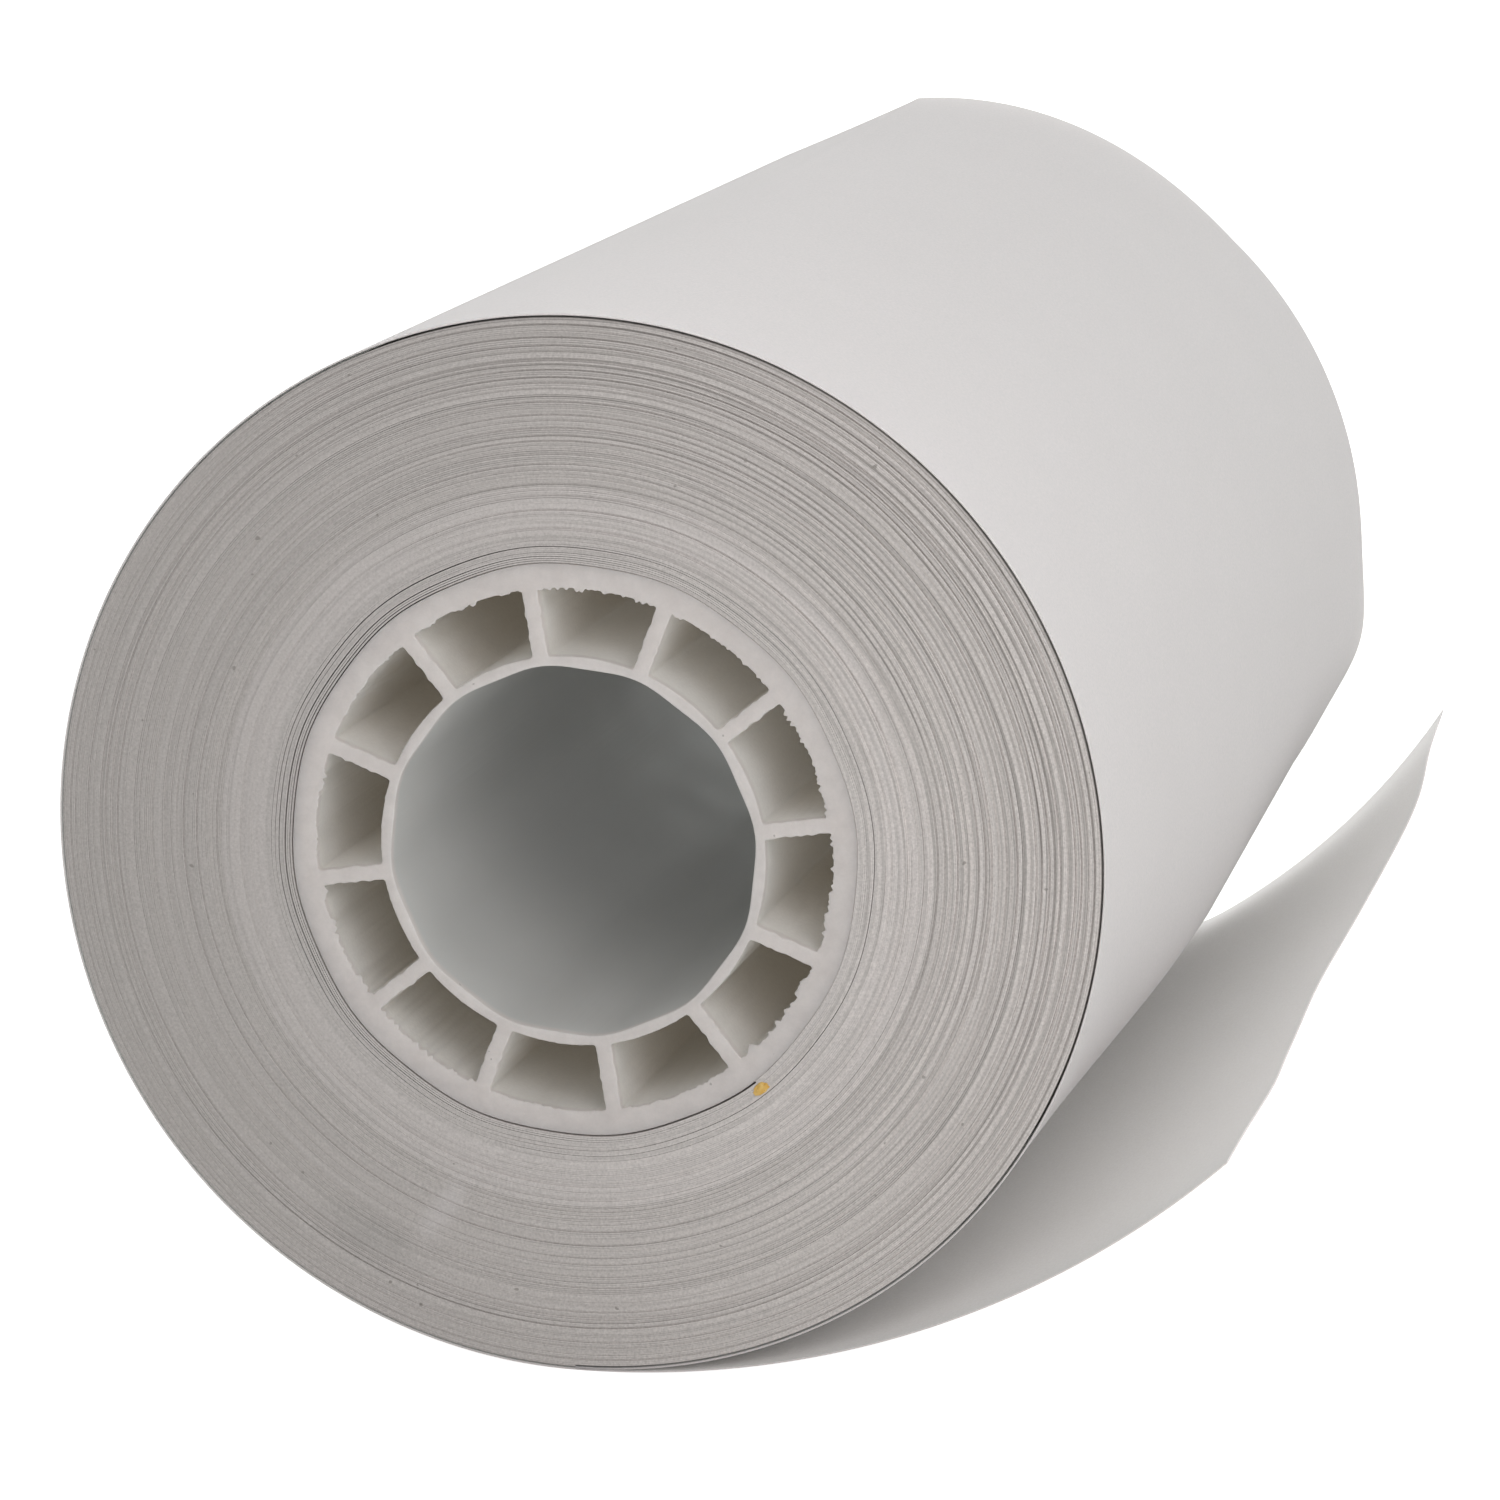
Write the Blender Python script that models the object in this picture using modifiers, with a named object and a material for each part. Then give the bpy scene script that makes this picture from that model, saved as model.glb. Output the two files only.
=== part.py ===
"""A small paper roll: thin paper wound on a ribbed plastic core, with its free end curling up.

The roll lies on its side with its axis along Y and its front end at -Y. The floor is z = 0, and the
origin is under the middle of the whole object's outline. All lengths are in metres.
"""

from math import cos, pi, radians, sin

import bmesh
import bpy

# Driving dimensions
WEB_WIDTH = 0.05715
ROLL_RADIUS = 0.01647
BORE_RADIUS = 0.00573
CORE_RADIUS = 0.00889
BORE_TUBE_WALL = 0.00032
OUTER_TUBE_WALL = 0.00074
RIB_COUNT = 12
RIB_THICKNESS = 0.00042
FIRST_RIB_ANGLE = radians(99)
FIRST_TURNS_RADIUS = 0.0098
INNER_COIL_RADIUS = 0.0112

# Stand-in thickness of the moving sheet, and the space kept between neighbours
SHEET = 0.0002
GAP = 0.0003
GLUE_GAP = 0.0001

# Glue spot: its angle on the core, counter-clockwise from +X, and its size
GLUE_ANGLE = radians(-50)
GLUE_THICKNESS = 0.0002
GLUE_WIDTH = 0.0005
GLUE_LENGTH = 0.002

# Tail, in roll radii: its front edge is one arc from the floor line, and its rear edge lies flat,
# turns up sharply and goes on in a wide arc. TAIL_REAR_CURL is the power of the width by which the
# rear shape takes over, and TAIL_FOLD is where along the tail the bending hinge lies.
TAIL_FRONT_ARC = 1.784
TAIL_FRONT_SLOPE = radians(43.5)
TAIL_REAR_FLAT = 0.369
TAIL_REAR_TURN_ARC = 0.598
TAIL_REAR_TURN_SLOPE = radians(33.6)
TAIL_REAR_ARC = 1.70
TAIL_REAR_SLOPE = radians(57.5)
TAIL_REAR_CURL = 3
TAIL_FOLD = 0.55
FOLD_GAP = 0.0005

# The last turn starts this far round from the floor line, clear of the tail's root under it, and
# rests on a flat strip that starts this far before that line
UNWOUND_ANGLE = radians(12)
REST_ANGLE = radians(5)

# Facets
ROUND_STEPS = 72
LAST_WRAP_STEPS = 34
CELL_ARC_STEPS = 5
ROOT_STEPS = 6
TAIL_STEPS = 14
WIDTH_STEPS = 12

ROLL_COLLECTION = "paper_roll"
HALF_WIDTH = WEB_WIDTH / 2
TAIL_REACH = ROLL_RADIUS * TAIL_FRONT_ARC * sin(TAIL_FRONT_SLOPE)
AXIS_X = (ROLL_RADIUS - TAIL_REACH) / 2
AXIS_Z = ROLL_RADIUS
ALONG_Y = (pi / 2, 0, 0)
TAIL_LENGTH = ROLL_RADIUS * TAIL_FRONT_ARC * TAIL_FRONT_SLOPE
FOLD_SHARE = TAIL_FOLD * ROLL_RADIUS / TAIL_LENGTH
FOLD_GAP_SHARE = FOLD_GAP / 2 / TAIL_LENGTH


def clear_scene():
    for obj in list(bpy.data.objects):
        bpy.data.objects.remove(obj, do_unlink=True)


def make_material(name, color, roughness):
    material = bpy.data.materials.new(name)
    material.use_nodes = True
    shader = material.node_tree.nodes["Principled BSDF"]
    shader.inputs["Base Color"].default_value = (*color, 1.0)
    shader.inputs["Roughness"].default_value = roughness
    shader.inputs["Metallic"].default_value = 0.0
    return material


def add_object(name, data, material, collection, location=(0, 0, 0), rotation=(0, 0, 0)):
    obj = bpy.data.objects.new(name, data)
    obj.location = location
    obj.rotation_euler = rotation
    data.materials.append(material)
    collection.objects.link(obj)
    return obj


def circle_points(radius):
    angles = [2 * pi * i / ROUND_STEPS for i in range(ROUND_STEPS)]
    return [(radius * cos(a), radius * sin(a)) for a in angles]


def cell_points(rib_angle):
    """One opening of the core, between two ribs with parallel sides and the two tubes."""
    pitch = 2 * pi / RIB_COUNT
    outline = []
    for radius, direction in (
        (BORE_RADIUS + BORE_TUBE_WALL, 1),
        (CORE_RADIUS - OUTER_TUBE_WALL, -1),
    ):
        margin = RIB_THICKNESS / 2 / radius
        low = rib_angle + margin
        high = rib_angle + pitch - margin
        arc = [low + (high - low) * i / CELL_ARC_STEPS for i in range(CELL_ARC_STEPS + 1)]
        outline += [(radius * cos(a), radius * sin(a)) for a in arc[::direction]]
    return outline


def add_closed_spline(curve, points):
    spline = curve.splines.new("POLY")
    spline.points.add(len(points) - 1)
    for point, (x, y) in zip(spline.points, points):
        point.co = (x, y, 0, 1)
    spline.use_cyclic_u = True


def make_core(material, collection):
    """The extruded core: the bore tube, twelve ribs and the outer tube are one section."""
    curve = bpy.data.curves.new("core", "CURVE")
    curve.dimensions = "2D"
    curve.fill_mode = "BOTH"
    curve.extrude = HALF_WIDTH
    add_closed_spline(curve, circle_points(CORE_RADIUS))
    add_closed_spline(curve, circle_points(BORE_RADIUS))
    for i in range(RIB_COUNT):
        add_closed_spline(curve, cell_points(FIRST_RIB_ANGLE + 2 * pi * i / RIB_COUNT))
    return add_object("core", curve, material, collection, (AXIS_X, 0, AXIS_Z), ALONG_Y)


def make_wound_band(name, inner, outer, material, collection):
    """Many tight turns of paper as one ring, turned from its rectangular section."""
    mesh = bpy.data.meshes.new(name)
    outline = [(outer, HALF_WIDTH), (outer, -HALF_WIDTH), (inner, -HALF_WIDTH), (inner, HALF_WIDTH)]
    section = bmesh.new()
    corners = [section.verts.new((x, 0, z)) for x, z in outline]
    for corner, following in zip(corners, corners[1:] + corners[:1]):
        section.edges.new((corner, following))
    section.to_mesh(mesh)
    section.free()
    band = add_object(name, mesh, material, collection, (AXIS_X, 0, AXIS_Z), ALONG_Y)
    screw = band.modifiers.new("turn", "SCREW")
    screw.steps = ROUND_STEPS
    screw.render_steps = ROUND_STEPS
    screw.use_merge_vertices = True
    screw.merge_threshold = 0.00001
    screw.use_smooth_shade = True
    return band


def make_glue_spot(material, collection):
    """A bead between the core and the first turn, flush with the front end."""
    middle = CORE_RADIUS + GLUE_GAP + GLUE_THICKNESS / 2
    bead = bmesh.new()
    bmesh.ops.create_cube(bead, size=1.0)
    bmesh.ops.scale(bead, vec=(GLUE_THICKNESS, GLUE_LENGTH, GLUE_WIDTH), verts=bead.verts)
    mesh = bpy.data.meshes.new("core_glue")
    bead.to_mesh(mesh)
    bead.free()
    place = (
        AXIS_X + middle * cos(GLUE_ANGLE),
        (GLUE_LENGTH - WEB_WIDTH) / 2,
        AXIS_Z + middle * sin(GLUE_ANGLE),
    )
    return add_object("core_glue", mesh, material, collection, place, (0, -GLUE_ANGLE, 0))


def arc_from(start, slope, radius, length):
    """The point and slope after going `length` along an arc that turns upwards."""
    turned = slope + length / radius
    x = start[0] + radius * (sin(turned) - sin(slope))
    z = start[1] + radius * (cos(slope) - cos(turned))
    return (x, z), turned


def front_edge(share):
    """The tail's front edge in roll radii, from the floor line (0) to its end (1)."""
    length = share * TAIL_FRONT_ARC * TAIL_FRONT_SLOPE
    return arc_from((0, 0), 0, TAIL_FRONT_ARC, length)


def rear_edge(share):
    """The tail's rear edge in roll radii, from the floor line (0) to its end (1)."""
    turn = TAIL_REAR_TURN_ARC * TAIL_REAR_TURN_SLOPE
    rise = TAIL_REAR_ARC * (TAIL_REAR_SLOPE - TAIL_REAR_TURN_SLOPE)
    length = share * (TAIL_REAR_FLAT + turn + rise)
    if length <= TAIL_REAR_FLAT:
        return (length, 0), 0.0
    length -= TAIL_REAR_FLAT
    lifted = arc_from((TAIL_REAR_FLAT, 0), 0, TAIL_REAR_TURN_ARC, min(length, turn))
    if length <= turn:
        return lifted
    return arc_from(lifted[0], lifted[1], TAIL_REAR_ARC, length - turn)


def sheet_point(share, across):
    """A point midway through the tail, measured from the middle of the roll's axis.

    `share` goes from the floor line (0) to the free end (1), `across` from front (0) to rear (1).
    """
    (front, front_slope), (rear, rear_slope) = front_edge(share), rear_edge(share)
    curl = across**TAIL_REAR_CURL
    slope = front_slope + (rear_slope - front_slope) * curl
    x = ROLL_RADIUS * (front[0] + (rear[0] - front[0]) * curl) - SHEET / 2 * sin(slope)
    z = ROLL_RADIUS * (front[1] + (rear[1] - front[1]) * curl) + SHEET / 2 * cos(slope)
    return (x, WEB_WIDTH * (across - 0.5), z - AXIS_Z)


def make_sheet(name, rows, origin, material, collection):
    """A strip of paper through rows of points across its width, thickened about its middle.

    The points and the origin are measured from the middle of the roll's axis.
    """
    grid = bmesh.new()
    lines = [
        [grid.verts.new((x - origin[0], y - origin[1], z - origin[2])) for x, y, z in row]
        for row in rows
    ]
    for line, following in zip(lines, lines[1:]):
        for i in range(len(line) - 1):
            grid.faces.new((line[i], following[i], following[i + 1], line[i + 1]))
    mesh = bpy.data.meshes.new(name)
    grid.to_mesh(mesh)
    grid.free()
    mesh.shade_smooth()
    place = (AXIS_X + origin[0], origin[1], AXIS_Z + origin[2])
    sheet = add_object(name, mesh, material, collection, place)
    solidify = sheet.modifiers.new("thickness", "SOLIDIFY")
    solidify.thickness = SHEET
    solidify.offset = 0.0
    solidify.use_even_offset = True
    return sheet


def widths():
    return [i / WIDTH_STEPS for i in range(WIDTH_STEPS + 1)]


def make_last_wrap(material, collection):
    """The outermost turn, which runs round to the floor and on into the tail's first stretch."""
    radius = ROLL_RADIUS - SHEET / 2
    turn = 2 * pi - UNWOUND_ANGLE - REST_ANGLE
    places = []
    for i in range(LAST_WRAP_STEPS):
        angle = UNWOUND_ANGLE - pi / 2 + turn * i / LAST_WRAP_STEPS
        places.append((radius * cos(angle), radius * sin(angle)))
    places.append((-radius * sin(REST_ANGLE), -radius))
    rows = [[(x, WEB_WIDTH * (w - 0.5), z) for w in widths()] for x, z in places]
    for i in range(ROOT_STEPS + 1):
        share = (FOLD_SHARE - FOLD_GAP_SHARE) * i / ROOT_STEPS
        rows.append([sheet_point(share, w) for w in widths()])
    return make_sheet("last_wrap", rows, (0, 0, 0), material, collection)


def make_tail(material, collection):
    """The free end beyond the fold line, with its origin on that line."""
    start = FOLD_SHARE + FOLD_GAP_SHARE
    rows = []
    for i in range(TAIL_STEPS + 1):
        share = start + (1 - start) * i / TAIL_STEPS
        rows.append([sheet_point(share, w) for w in widths()])
    return make_sheet("tail", rows, sheet_point(FOLD_SHARE, 0.5), material, collection)


def main():
    clear_scene()
    collection = bpy.data.collections.new(ROLL_COLLECTION)
    bpy.context.scene.collection.children.link(collection)
    plastic = make_material("core_plastic", (0.80, 0.77, 0.76), 0.45)
    glue = make_material("yellow_glue", (0.62, 0.52, 0.25), 0.5)
    wound_paper = make_material("wound_paper", (0.68, 0.66, 0.65), 0.8)
    paper = make_material("paper", (0.82, 0.80, 0.80), 0.65)
    make_core(plastic, collection)
    make_glue_spot(glue, collection)
    first_turns_start = CORE_RADIUS + 2 * GLUE_GAP + GLUE_THICKNESS
    coil_radius = ROLL_RADIUS - SHEET - GAP
    make_wound_band("first_turns", first_turns_start, FIRST_TURNS_RADIUS, wound_paper, collection)
    make_wound_band(
        "inner_coil", FIRST_TURNS_RADIUS + GAP, INNER_COIL_RADIUS, wound_paper, collection
    )
    make_wound_band("main_coil", INNER_COIL_RADIUS + GAP, coil_radius, wound_paper, collection)
    make_last_wrap(paper, collection)
    make_tail(paper, collection)


main()
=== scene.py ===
"""The looks of the small paper roll: real wound paper, a sawn plastic core and a soft white studio."""

from math import atan2, cos, exp, pi, radians, sin, tau

import bmesh
import bpy
import numpy as np
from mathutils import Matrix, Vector, noise
from mathutils.geometry import delaunay_2d_cdt


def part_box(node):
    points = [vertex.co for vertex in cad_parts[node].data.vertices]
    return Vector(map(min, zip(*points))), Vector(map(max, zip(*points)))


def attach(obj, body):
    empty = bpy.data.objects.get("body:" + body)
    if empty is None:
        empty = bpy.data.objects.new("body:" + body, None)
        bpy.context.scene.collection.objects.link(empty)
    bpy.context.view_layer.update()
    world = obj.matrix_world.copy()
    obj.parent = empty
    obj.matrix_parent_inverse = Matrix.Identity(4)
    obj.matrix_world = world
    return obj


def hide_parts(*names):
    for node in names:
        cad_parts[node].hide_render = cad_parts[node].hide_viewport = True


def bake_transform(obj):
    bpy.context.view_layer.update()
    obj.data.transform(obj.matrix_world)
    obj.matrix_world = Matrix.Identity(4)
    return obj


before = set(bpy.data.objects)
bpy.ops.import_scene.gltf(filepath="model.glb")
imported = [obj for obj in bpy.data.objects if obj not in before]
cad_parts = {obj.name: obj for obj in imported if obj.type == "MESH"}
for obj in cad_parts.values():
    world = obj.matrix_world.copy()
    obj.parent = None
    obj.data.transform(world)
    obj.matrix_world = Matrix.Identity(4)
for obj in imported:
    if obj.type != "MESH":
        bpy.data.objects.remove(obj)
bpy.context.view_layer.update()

MM = 0.001

# Places and sizes that the CAD model gives
core_low, core_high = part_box("core")
AXIS_X = (core_low.x + core_high.x) / 2
AXIS_Z = (core_low.z + core_high.z) / 2
FRONT_Y = core_low.y
REAR_Y = core_high.y
WEB_WIDTH = REAR_Y - FRONT_Y
CORE_RADIUS = (core_high.x - core_low.x) / 2
ROLL_RADIUS = AXIS_Z
FIRST_TURNS_RADIUS = (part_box("first_turns")[1].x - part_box("first_turns")[0].x) / 2
INNER_COIL_RADIUS = (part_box("inner_coil")[1].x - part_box("inner_coil")[0].x) / 2

# Core section
BORE_RADIUS = 5.73 * MM
BORE_TUBE_WALL = 0.32 * MM
OUTER_TUBE_WALL = 0.74 * MM
CELL_INNER = BORE_RADIUS + BORE_TUBE_WALL
CELL_OUTER = CORE_RADIUS - OUTER_TUBE_WALL
CELL_CORNER = 0.11 * MM
RIB_COUNT = 12
RIB_THICKNESS = 0.48 * MM
FIRST_RIB_ANGLE = radians(99)
BORE_SCALLOP = 0.045 * MM
OUTER_SCALLOP = 0.03 * MM
CORE_CLEARANCE = 0.004 * MM
OUTLINE_STEP = 0.028 * MM
RING_STEPS = 480

# The core's sawn ends: a small chamfer, less on the outer rim, and burrs that fade with depth
SAWN_EDGE = 0.025 * MM
RIM_CHAMFER_SHARE = 0.4
RIB_BURR = 0.07 * MM
BORE_BURR = 0.014 * MM
LEAST_RIM_BURR = 0.05 * MM
RIM_BURR_SPREAD = 0.14 * MM
BURR_DEPTH = 0.12 * MM
BURR_END = 0.3 * MM

# Glue drop, as half sizes across, along and out of the core's outline
GLUE_OUT_FROM_CORE = 0.32 * MM
GLUE_HALF = (0.17 * MM, 0.25 * MM, 0.07 * MM)

# The web and its winding, which leaves the last turn room to go round
PAPER = 0.053 * MM
WINDING_RADIUS = ROLL_RADIUS - 2 * PAPER
TURNS = 131
START_ANGLE = radians(-50)
BOTTOM_ANGLE = radians(-90)
STEPS_PER_TURN = 270
TOTAL_TURNS = TURNS + (BOTTOM_ANGLE - START_ANGLE) / tau
WEB_CLEARANCE = 0.001 * MM
LEAST_GAP = 0.0004 * MM
GAP_VARIATION = 0.8
GAP_PULL = 0.12
SCALLOP_FADE = 8

# Recessed turns between bundles of flush ones: lengths in turns, and depths
SHORTEST_BUNDLE = 3.1
LONGEST_BUNDLE = 4.1
RECESS_STEP = 0.10
RECESS_SIDE = radians(35)
RECESS_AT_CORE = 0.030 * MM
RECESS_GROWTH = 0.055 * MM

# Sideways wander of the web: its size, then its mean run and its blur in turns
WANDERS = ((0.010 * MM, 1.2, 0.25), (0.008 * MM, 4.0, 1.0), (0.02 * MM, 18.0, 6.0))

# Loose places near the core: turn, side in degrees, gap in millimetres, spread in turns
LOOSE_PLACES = (
    (0, 165, 0.020, 0.22),
    (1, 150, 0.026, 0.18),
    (3, 175, 0.042, 0.22),
    (4, 205, 0.020, 0.12),
    (5, 60, 0.012, 0.20),
    (6, 195, 0.034, 0.16),
    (8, 125, 0.036, 0.20),
    (9, 15, 0.026, 0.25),
    (10, 170, 0.020, 0.20),
    (11, -100, 0.016, 0.15),
)

# The last turn: where it stands off the coil, in degrees round the axis, and how far
LIFT_START = 47
LIFT_PEAK = 95
LIFT_END = 113
LIFT_HEIGHT = 0.97 * MM
CHORD_SHARE = 1.12
LOW_LIFT = 0.44 * MM
LOW_LIFT_PEAK = -12
LOW_LIFT_REACH = 8
SWELL = 0.60 * MM
SWELL_PEAK = -27
SWELL_REACH = 12
SWELL_RISE = 0.45
SWELL_LAST = 0.95

# The tail's two edges as arcs, in roll radii, and the reach of its bend under the roll
TAIL_FRONT_ARC = 1.784
TAIL_FRONT_SLOPE = radians(43.5)
TAIL_REAR_FLAT = 0.369
TAIL_REAR_TURN_ARC = 0.598
TAIL_REAR_TURN_SLOPE = radians(33.6)
TAIL_REAR_ARC = 1.70
TAIL_REAR_SLOPE = radians(57.5)
TAIL_REAR_CURL = 3

# The uneven cut end: how much longer the tail is there, the place across it and the reach, as shares
CUT_HUMPS = ((0.012, 0.14, 0.06), (-0.024, 0.40, 0.13), (0.036, 0.76, 0.13), (0.012, 1.0, 0.05))

# How finely the loose sheet is divided
SHEET_COLUMNS = 48
SHEET_TURN_ROWS = 360
SHEET_TAIL_ROWS = 90

# Paper colours, each as a duller and a brighter tone, or as paper and shadow line
OUTER_FACE = ((0.822, 0.752, 0.748), (0.837, 0.767, 0.763))
# the inner face's paler, greener tone is painted light for the shaded crease between the tail and the roll
INNER_FACE_PAINTED_LIGHT = ((0.803, 0.809, 0.799), (0.819, 0.825, 0.815))
PAPER_TOOTH = (0.60, 0.585, 0.58)
FIRST_TURN_EDGES = ((0.77, 0.733, 0.717), (0.50, 0.475, 0.462))
INNER_COIL_EDGES = ((0.80, 0.760, 0.745), (0.60, 0.57, 0.556))
COIL_EDGES = ((0.762, 0.724, 0.706), (0.48, 0.457, 0.442))
# a lighter and a darker tone for two patches low on the roll's end
LIGHTER_PATCH_TONE = (0.85, 0.82, 0.83)
DARKER_PATCH_TONE = (0.30, 0.30, 0.29)
EDGE_SPECK = (0.25, 0.23, 0.21)

# The roll's end: the side where its rings, painted as shadow lines, show most as grazing light would show
# them, the side that painted light makes palest, and its rings
PAINTED_SHADOW_LINES_SIDE = radians(32)
PAINTED_LIGHT_SIDE = radians(-22)
PAINTED_LIGHT_RANGE = (0.80, 1.125)
RING_PITCH = 0.235 * MM
RINGS_PER_METRE = 6400.0
RING_BEND = 2.6
BEAT_STRENGTH = 0.075

# Plastic colours, with painted light on the cell walls and painted shade in the bore, and the faint light
# that comes through its thin walls
SAWN_PLASTIC = ((0.722, 0.668, 0.652), (0.806, 0.748, 0.730))
CELL_WALL_PAINTED_LIGHT = ((0.93, 0.905, 0.86), (0.95, 0.93, 0.89))
BORE_WALL_PAINTED_SHADE = ((0.61, 0.620, 0.615), (0.65, 0.658, 0.652))
PLASTIC_TOOTH = (0.66, 0.635, 0.615)
PLASTIC_SPECK = (0.24, 0.22, 0.20)
THROUGH_BORE = (0.98, 1.0, 0.97)
THROUGH_CELLS = (1.0, 0.88, 0.71)
THROUGH_STRENGTH = 0.018
GLUE = ((0.80, 0.46, 0.08), (0.86, 0.60, 0.20))

# Studio: the pale floor, the white dome and tent round it, and a card by the camera
FLOOR = ((0.70, 0.70, 0.69), (0.72, 0.72, 0.71))
FLOOR_SIZE = 6.0
FLOOR_DROP = 0.02 * MM
FLOOR_VEIL = 0.66
FLOOR_GLOW = 0.19
DOME_RADIUS = 2.9
TENT_COLOR = (0.975, 1.0, 0.985, 1.0)
TENT_LEAST = 0.07
TENT_RIGHT = 0.48
TENT_BACK = 1.15
TENT_TOP = 0.22
CARD_PLACE = (0.047, -0.106, 0.072)
CARD_AIM = (0.0, -0.028, 0.018)
CARD_SIZE = 0.07
CARD_POWER = 0.037
CARD_COLOR = (1.0, 0.95, 0.94)

# Softboxes: the side their light comes from, its strength and its colour, and how far it spreads
REAR_SOFTBOX = ((0.30, 0.62, 0.72), 0.36, (1.0, 0.965, 0.96))
REAR_SPREAD = radians(60)
LEFT_SOFTBOX = ((-0.45, 0.75, 0.55), 0.60, (1.0, 0.97, 0.965))
LEFT_SPREAD = radians(50)

# Camera, in roll radii from the floor line under the roll's axis
CAMERA_AZIMUTH = radians(13.68)
CAMERA_ELEVATION = radians(12.26)
CAMERA_DISTANCE = 12.016
CAMERA_AIM = (-0.084, 0.0, 0.822)
CAMERA_LENS = 134.3


# ---------------------------------------------------------------- helpers


def link(obj):
    bpy.context.scene.collection.objects.link(obj)
    return obj


def mesh_object(name, points, faces, smooth_angle):
    mesh = bpy.data.meshes.new(name)
    mesh.from_pydata([tuple(p) for p in points], [], faces)
    mesh.validate()
    mesh.shade_smooth()
    mesh.set_sharp_from_angle(angle=smooth_angle)
    return link(bpy.data.objects.new(name, mesh))


def quad_mesh_object(name, points, quads, smooth_angle):
    """A mesh from arrays of points and quads, for the large wound pieces."""
    mesh = bpy.data.meshes.new(name)
    mesh.vertices.add(len(points))
    mesh.vertices.foreach_set("co", np.asarray(points, np.float32).ravel())
    mesh.loops.add(quads.size)
    mesh.loops.foreach_set("vertex_index", quads.astype(np.int32).ravel())
    mesh.polygons.add(len(quads))
    mesh.polygons.foreach_set("loop_start", np.arange(0, quads.size, 4, dtype=np.int32))
    mesh.update(calc_edges=True)
    mesh.validate()
    mesh.shade_smooth()
    mesh.set_sharp_from_angle(angle=smooth_angle)
    return link(bpy.data.objects.new(name, mesh))


def finish_piece(obj, body, slot, material, *nodes):
    obj.data.materials.clear()
    obj.data.materials.append(material)
    if body:
        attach(obj, body)
    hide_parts(*nodes)


class Nodes:
    """Short ways to add and join shader nodes in one material."""

    def __init__(self, name):
        self.material = bpy.data.materials.new(name)
        self.material.use_nodes = True
        self.tree = self.material.node_tree
        self.shader = self.tree.nodes["Principled BSDF"]

    def add(self, kind, **settings):
        node = self.tree.nodes.new(kind)
        for key, value in settings.items():
            setattr(node, key, value)
        return node

    def join(self, source, target):
        self.tree.links.new(source, target)

    def set(self, **values):
        """Fixed values of the surface, such as roughness=0.5 or subsurface_weight=0.6."""
        for key, value in values.items():
            words = [word.upper() if word == "ior" else word.capitalize() for word in key.split("_")]
            self.shader.inputs[" ".join(words)].default_value = value

    def math(self, operation, first, second=None):
        node = self.add("ShaderNodeMath", operation=operation)
        for socket, value in zip(node.inputs, (first, second)):
            if value is None:
                continue
            if isinstance(value, (int, float)):
                socket.default_value = value
            else:
                self.join(value, socket)
        return node.outputs[0]

    def times(self, first, second):
        return self.math("MULTIPLY", first, second)

    def plus(self, first, second):
        return self.math("ADD", first, second)

    def position(self):
        return self.add("ShaderNodeTexCoord").outputs["Object"]

    def scaled(self, vector, scale):
        node = self.add("ShaderNodeMapping")
        self.join(vector, node.inputs["Vector"])
        node.inputs["Scale"].default_value = scale
        return node.outputs[0]

    def noise(self, vector, scale, detail=3.0, roughness=0.55):
        node = self.add("ShaderNodeTexNoise")
        self.join(vector, node.inputs["Vector"])
        node.inputs["Scale"].default_value = scale
        node.inputs["Detail"].default_value = detail
        node.inputs["Roughness"].default_value = roughness
        return node.outputs["Fac"]

    def ramp(self, value, *stops):
        node = self.add("ShaderNodeValToRGB")
        self.join(value, node.inputs["Fac"])
        for element, (place, color) in zip(node.color_ramp.elements, stops):
            element.position = place
            element.color = (*color, 1.0) if hasattr(color, "__len__") else (color,) * 3 + (1.0,)
        return node.outputs["Color"]

    def tones(self, value, low, high, colors):
        """The first color below one value, the second above another, and a blend between them."""
        return self.ramp(value, (low, colors[0]), (high, colors[1]))

    def mix(self, factor, first, second):
        node = self.add("ShaderNodeMix", data_type="RGBA")
        for socket, value in ((node.inputs[0], factor), (node.inputs[6], first), (node.inputs[7], second)):
            if hasattr(value, "is_linked"):
                self.join(value, socket)
            elif hasattr(value, "__len__"):
                socket.default_value = (*value, 1.0)
            else:
                socket.default_value = value
        return node.outputs[2]

    def bump(self, height, strength, distance):
        node = self.add("ShaderNodeBump")
        node.inputs["Strength"].default_value = strength
        node.inputs["Distance"].default_value = distance
        self.join(height, node.inputs["Height"])
        self.join(node.outputs[0], self.shader.inputs["Normal"])

    def span(self, value, low, high):
        """0 at one value and 1 at another, with a smooth step between them."""
        node = self.add("ShaderNodeMapRange")
        node.interpolation_type = "SMOOTHSTEP"
        self.join(value, node.inputs["Value"])
        node.inputs["From Min"].default_value = low
        node.inputs["From Max"].default_value = high
        return node.outputs[0]

    def section(self):
        """How far a point lies from the roll's axis across and up, in metres."""
        split = self.add("ShaderNodeSeparateXYZ")
        self.join(self.position(), split.inputs[0])
        across = self.math("SUBTRACT", split.outputs["X"], AXIS_X)
        up = self.math("SUBTRACT", split.outputs["Z"], AXIS_Z)
        return across, up

    def from_axis(self):
        """The distance from the roll's axis, in metres."""
        across, up = self.section()
        return self.math("SQRT", self.plus(self.math("POWER", across, 2.0), self.math("POWER", up, 2.0)))

    def toward(self, angle):
        """How far a point lies to one side of the roll's axis, in metres."""
        across, up = self.section()
        return self.plus(self.times(across, cos(angle)), self.times(up, sin(angle)))

    def from_end(self):
        """The distance from the nearer end of the roll, in metres."""
        split = self.add("ShaderNodeSeparateXYZ")
        self.join(self.position(), split.inputs[0])
        return self.math("SUBTRACT", REAR_Y, self.math("ABSOLUTE", split.outputs["Y"]))

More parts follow.
